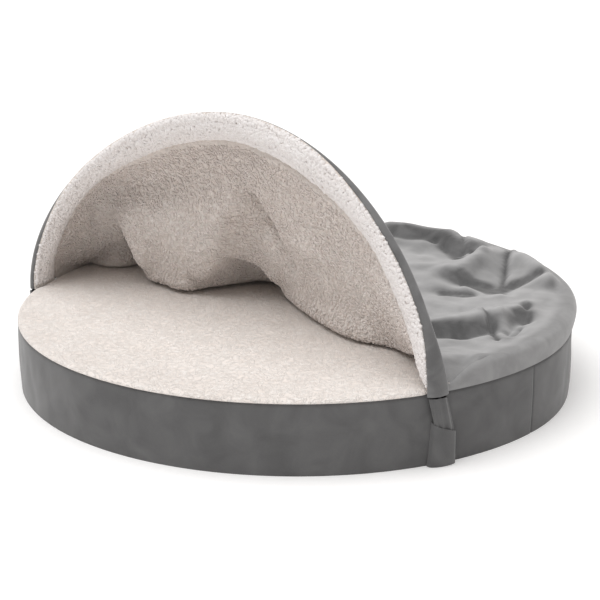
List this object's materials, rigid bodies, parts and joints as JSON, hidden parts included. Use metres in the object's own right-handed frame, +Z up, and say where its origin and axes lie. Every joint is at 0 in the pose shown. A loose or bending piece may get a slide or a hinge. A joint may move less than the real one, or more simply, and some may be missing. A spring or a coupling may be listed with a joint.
{
  "type": "hooded pet bed and hoop",
  "caption": "Round filled pet bed with a sherpa top and a suede blanket hood held open by a sprung hoop, so that a pet can burrow under it.",
  "frame": {"origin": "on the ground under the middle of the round bed", "axes": "+Z up, the hood opens towards -Y, the hoop's two ends stand at -X and +X"},
  "size_m": [0.8888, 0.8888, 0.4409],
  "materials": {
    "sherpa": "deep cream sherpa pile",
    "suede": "matt grey brushed suede cloth",
    "base_cloth": "plain matt grey cloth",
    "rod": "dark, smooth"
  },
  "bodies": {
    "root": {"mattress": "base_cloth", "seat_panel": "sherpa", "band_back": "suede", "band_front": "suede", "hood_cover": "suede", "hood_lining": "sherpa", "hoop_rod": "rod", "rod_sleeve_left": "suede", "rod_sleeve_right": "suede", "pocket_left": "suede", "pocket_right": "suede"}
  },
  "joints": []
}
